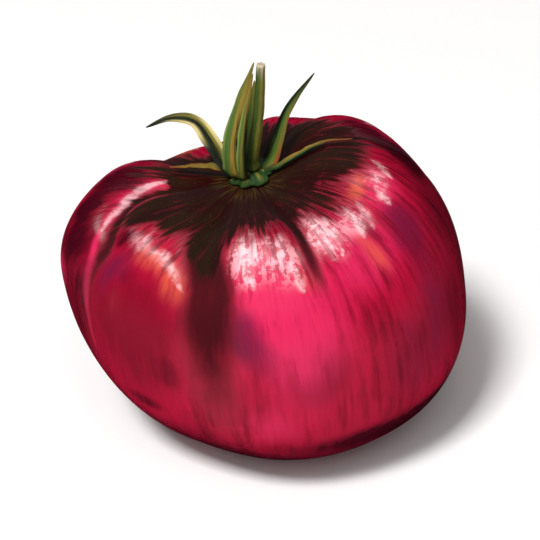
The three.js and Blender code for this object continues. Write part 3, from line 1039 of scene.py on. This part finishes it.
# %% Colours of the sepals
GREEN = srgb(74, 104, 42)
LIGHT_GREEN = srgb(126, 146, 74)
DARK_GREEN = srgb(34, 62, 28)
BLACK_GREEN = srgb(16, 24, 14)
OLIVE = srgb(116, 110, 44)
OCHRE = srgb(146, 118, 44)
CREAM = srgb(214, 198, 132)
RUST = srgb(150, 76, 34)

# Name: the side at across -1 and its span along the blade, the middle, the side at +1, its
# rim and the rim's span, the tip, and where across the middle starts and ends.
SEPAL_COLOURS = {
    # The black-green sides and the arched sepal's black-green middle are painted shade.
    "arched": (CREAM, (0.52, 0.88), BLACK_GREEN, OLIVE,
               CREAM, (0.34, 0.66), BLACK_GREEN, (-0.5, 0.2)),
    "broad": (BLACK_GREEN, (0, 0.7), OCHRE, GREEN,
              LIGHT_GREEN, (0.2, 0.8), OLIVE, (-0.6, -0.2)),
    "narrow": (BLACK_GREEN, (0, 0.8), OLIVE, GREEN,
               LIGHT_GREEN, (0.2, 0.8), OCHRE, (-0.4, 0.15)),
    "slender": (BLACK_GREEN, (0, 1), GREEN, OLIVE,
                RUST, (0.05, 0.45), BLACK_GREEN, (-0.3, 0.2)),
    "back": (DARK_GREEN, (0, 1), GREEN, OLIVE,
             OLIVE, (0, 1), OLIVE, (-0.4, 0.15)),
    "right_low": (OCHRE, (0.3, 1), OLIVE, GREEN,
                  DARK_GREEN, (0, 0.7), RUST, (-0.2, 0.3)),
    "left_low": (OCHRE, (0.1, 1), OCHRE, OLIVE,
                 RUST, (0.4, 1), RUST, (-0.4, 0.15)),
    "pad": (DARK_GREEN, (0, 1), DARK_GREEN, GREEN,
            OLIVE, (0, 1), DARK_GREEN, (-0.4, 0.15)),
}
print("colours for", len(SEPAL_COLOURS), "green pieces")

# %% [markdown]
# All green pieces share one recipe. The veins push the borders between the colours to and
# fro, so that they run on in streaks, and a finer noise adds dark and light threads. The
# same threads are raised a little, which gives the dull, slightly hairy look of a leaf.

# %% Finish of the sepals
SIDE_BLUR = 0.2
SPAN_BLUR = 0.08
VEIN_WANDER = 0.9
THREAD_HEIGHT = 0.0002


def within(leaf, along, span, share):
    """Share, but only between the two ends of a span along the blade."""
    start = leaf.step(along, span[0] - SPAN_BLUR, span[0] + SPAN_BLUR)
    end = leaf.step(along, span[1] - SPAN_BLUR, span[1] + SPAN_BLUR, 1.0, 0.0)
    return leaf.times(share, leaf.times(start, end))


def sepal_finish(name, minus, minus_span, middle, plus, rim, rim_span, tip, limits):
    leaf = Finish("sepal_" + name)
    along = leaf.value("along")
    veins = leaf.noise(leaf.stretch("grain", (9, 9, 2.5)), detail=5, rough=0.6)
    threads = leaf.noise(leaf.stretch("grain", (26, 26, 5)), detail=2)
    wander = leaf.add_share(veins, VEIN_WANDER, -VEIN_WANDER / 2)
    place = leaf.math("ADD", leaf.value("across"), wander)
    low, high = limits
    plus_side = leaf.step(place, high - SIDE_BLUR, high + SIDE_BLUR)
    minus_side = leaf.step(place, low - SIDE_BLUR, low + SIDE_BLUR, 1.0, 0.0)
    colour = leaf.mix(middle, plus, plus_side)
    colour = leaf.mix(colour, rim, within(leaf, along, rim_span, leaf.step(place, 0.4, 0.75)))
    colour = leaf.mix(colour, minus, within(leaf, along, minus_span, minus_side))
    # Darker green at the foot: painted shade down in the pit.
    colour = leaf.mix(colour, DARK_GREEN, leaf.step(along, 0.05, 0.3, 0.85, 0.0))
    tipped = leaf.step(leaf.math("ADD", along, wander), 0.62, 1.0, 0.0, 0.9)
    colour = leaf.mix(colour, tip, tipped)
    colour = leaf.mix(colour, BLACK_GREEN, leaf.step(threads, 0.52, 0.72, 0.0, 0.4))
    colour = leaf.mix(colour, LIGHT_GREEN, leaf.step(threads, 0.3, 0.44, 0.22, 0.0))
    leaf.surface(base_color=colour, roughness=0.55, specular_ior_level=0.35,
                 normal=leaf.raised(threads, THREAD_HEIGHT, 0.8))
    return leaf


for name, colours in SEPAL_COLOURS.items():
    sepal_finish(name, *colours).on(green_pieces[name])
print("calyx finished")

# %% [markdown]
# The stem was cut with a knife a thumb's width above the fruit. It has five soft ridges, a
# wider foot where it joins the calyx, and a pale cut end. Blender can turn a curve into a
# tube in one step, but that tube is round and even. Rings of points along the same bent
# line can have the ridges and the foot as well. The last rings go down into the cut, so
# the end is sunk a little in the middle, where the pith dries first.

# %% The stem
STEM_SPINE = [(0.2, 0, 3.5), (0.9, -0.5, 9), (1.9, -0.8, 17), (2.5, -0.9, 29.2)]
STEM_RADIUS = (1.6, 1.0)
STEM_FOOT = (0.5, 0.12)
STEM_RIDGES = (5, 0.08)
STEM_ROWS = 110
STEM_AROUND = 60

# Size of each ring inside the cut, as a share of the stem's own, and how deep it is sunk.
CUT_RINGS = [(0.8, 0.02), (0.55, 0.1), (0.3, 0.16), (0.04, 0.18)]


def stem_radius(share, lap):
    """The stem's radius in millimetres, with its foot, ridges, knots and rounded top edge."""
    foot, foot_end = STEM_FOOT
    count, height = STEM_RIDGES
    ridge = height * np.cos(count * lap + share * 0.6)
    knots = 0.04 * np.sin(share * 17 + 1) + 0.03 * np.sin(share * 38 + lap)
    radius = blend(*STEM_RADIUS, share) + foot * (1 - ease(share, 0, foot_end)) + ridge + knots
    return radius * (1 - 0.12 * ease(share, 0.985, 1))


def make_stem():
    shares = np.linspace(0, 1, STEM_ROWS)
    curve, across, through = blade_frame(np.array(STEM_SPINE) + PIT_MIDDLE, 90, shares)
    share, lap = rings_and_laps(shares, STEM_AROUND, 2 * np.pi)
    radius = stem_radius(share, lap)
    rings = (curve[:, None] + across[:, None] * (np.cos(lap) * radius)[..., None]
             + through[:, None] * (np.sin(lap) * radius)[..., None])
    forward = (curve[-1] - curve[-2]) / np.linalg.norm(curve[-1] - curve[-2])
    cut_rings = [curve[-1] - forward * depth + (rings[-1] - curve[-1]) * size
                 for size, depth in CUT_RINGS]
    rings = np.concatenate([rings, np.array(cut_rings)])
    values = {"along": share, "across": np.cos(lap), "grain": grain_vector(lap, share)}
    for key, value in values.items():
        values[key] = np.concatenate([value] + [value[-1:]] * len(CUT_RINGS))
    values["cut"] = np.zeros(rings.shape[:2])
    values["cut"][STEM_ROWS - 2:] = 1
    return make_piece("stem_stalk", rings, values, "stem")


stem = make_stem()

# %% [markdown]
# The stalk is green on one side and olive on the other, with dark streaks lengthways. Near
# the cut it has dried pale, and the streaks decide how far down. The value "cut" marks the
# end itself, so its pale colour stops sharply at the edge, as it does after a knife.

# %% Finish of the stem
STEM_GREEN = srgb(66, 88, 34)
STEM_OLIVE = srgb(128, 120, 46)
CUT_PALE = srgb(206, 196, 168)
STALK_HEIGHT = 0.00025


def stem_finish():
    stalk = Finish("stem_stalk")
    along = stalk.value("along")
    streaks = stalk.noise(stalk.stretch("grain", (6, 6, 5)), detail=5, rough=0.6)
    threads = stalk.noise(stalk.stretch("grain", (22, 22, 14)), detail=2)
    place = stalk.add_share(streaks, 1.2, stalk.math("SUBTRACT", stalk.value("across"), 0.6))
    colour = stalk.mix(STEM_GREEN, STEM_OLIVE, stalk.step(place, -0.4, 0.6))
    colour = stalk.mix(colour, DARK_GREEN, stalk.step(along, 0.05, 0.35, 0.7, 0.0))
    colour = stalk.mix(colour, BLACK_GREEN, stalk.step(threads, 0.52, 0.75, 0.0, 0.5))
    dried = stalk.step(stalk.add_share(streaks, 0.4, along), 1.12, 1.24)
    colour = stalk.mix(colour, CUT_PALE, stalk.math("MAXIMUM", dried, stalk.value("cut")))
    stalk.surface(base_color=colour, roughness=0.6, specular_ior_level=0.3,
                  normal=stalk.raised(threads, STALK_HEIGHT, 0.8))
    return stalk


stem_finish().on(stem)
print("stem finished")

# %% [markdown]
# The floor is plain and almost white, wide enough that its edge is never in view. A white
# sheet this big would lay a grey veil over the lower half of a glossy fruit, so it gives
# its light to the fruit but isn't mirrored in it. It lies a hair below the fruit, because
# two faces in exactly the same place fight for the light. It isn't part of the object.

# %% Floor
FLOOR_SIZE = 8.0
FLOOR_LEVEL = -0.05 * MM
half = FLOOR_SIZE / 2
corners = [(x * half, y * half, FLOOR_LEVEL) for x, y in ((-1, -1), (1, -1), (1, 1), (-1, 1))]
floor_mesh = bpy.data.meshes.new("floor")
floor_mesh.from_pydata(corners, [], [(0, 1, 2, 3)])
floor = bpy.data.objects.new("floor", floor_mesh)
bpy.context.scene.collection.objects.link(floor)
floor.visible_glossy = False
paper = Finish("paper_white")
paper.surface(base_color=(0.93, 0.94, 0.96, 1), roughness=0.9, specular_ior_level=0.1)
paper.on(floor)
print("floor", FLOOR_SIZE, "m wide")

# %% [markdown]
# The key stands high at the front left, so the shadow falls to the back right, dark by the
# fruit and soft further out. A broad, weak light fills the lobes from the front. The gloss
# has lights of its own, as in a studio where cards are hung only to be mirrored: a long
# strip high behind on the left draws the pale streaks down the lobes, and a small box
# behind on the right draws those on the right shoulder. The cards give no light to the
# skin, and the key, the fill and the sky leave no marks in it, which keeps the crimson
# deep right out to the edge of the fruit.

# %% Lights
LIGHT_AWAY = 4.0

# Name, azimuth, rise, width and height as angles, brightness, colour, only mirrored.
LIGHTS = [
    ("key", -120, 54, 12, 12, 70, (1.0, 0.97, 0.94), False),
    ("fill", -98, 48, 46, 36, 2.0, (1.0, 0.98, 0.96), False),
    ("strip", 132, 68, 11, 52, 9, (1.0, 0.98, 0.97), True),
    ("box", 45, 56, 16, 13, 9, (1.0, 0.98, 0.97), True),
]


def add_light(name, azimuth, rise, wide, high, brightness, colour, only_mirrored):
    """An even rectangle of light, aimed at the fruit. Sizes are angles seen from there."""
    data = bpy.data.lights.new(name, "AREA")
    data.shape = "RECTANGLE"
    data.size = 2 * LIGHT_AWAY * math.tan(math.radians(wide / 2))
    data.size_y = 2 * LIGHT_AWAY * math.tan(math.radians(high / 2))
    data.energy = brightness * math.pi * data.size * data.size_y
    data.color = colour
    light = bpy.data.objects.new(name, data)
    turn, tilt = math.radians(azimuth), math.radians(rise)
    level = math.cos(tilt)
    towards = Vector((math.cos(turn) * level, math.sin(turn) * level, math.sin(tilt)))
    light.location = CAMERA_AIM + towards * LIGHT_AWAY
    light.rotation_euler = towards.to_track_quat("Z", "Y").to_euler()
    light.visible_glossy = only_mirrored
    light.visible_diffuse = not only_mirrored
    bpy.context.scene.collection.objects.link(light)


for light in LIGHTS:
    add_light(*light)
print(len(LIGHTS), "lights")

# %% [markdown]
# The sky is a dim, warm glow from all round, like the walls of a room. It keeps the shadow
# from going black and gives it a faint red warmth. The plain "Standard" view shows colours
# as they are. The softer view that Blender starts with would turn the crimson dusty and
# the white floor grey.

# %% Sky and view
SKY = (1.0, 0.92, 0.91, 1)
SKY_STRENGTH = 0.2
world = bpy.data.worlds.new("sky")
world.use_nodes = True
background = world.node_tree.nodes["Background"]
background.inputs["Color"].default_value = SKY
background.inputs["Strength"].default_value = SKY_STRENGTH
world.cycles_visibility.glossy = False
bpy.context.scene.world = world
bpy.context.scene.view_settings.view_transform = "Standard"
print("sky strength", SKY_STRENGTH)
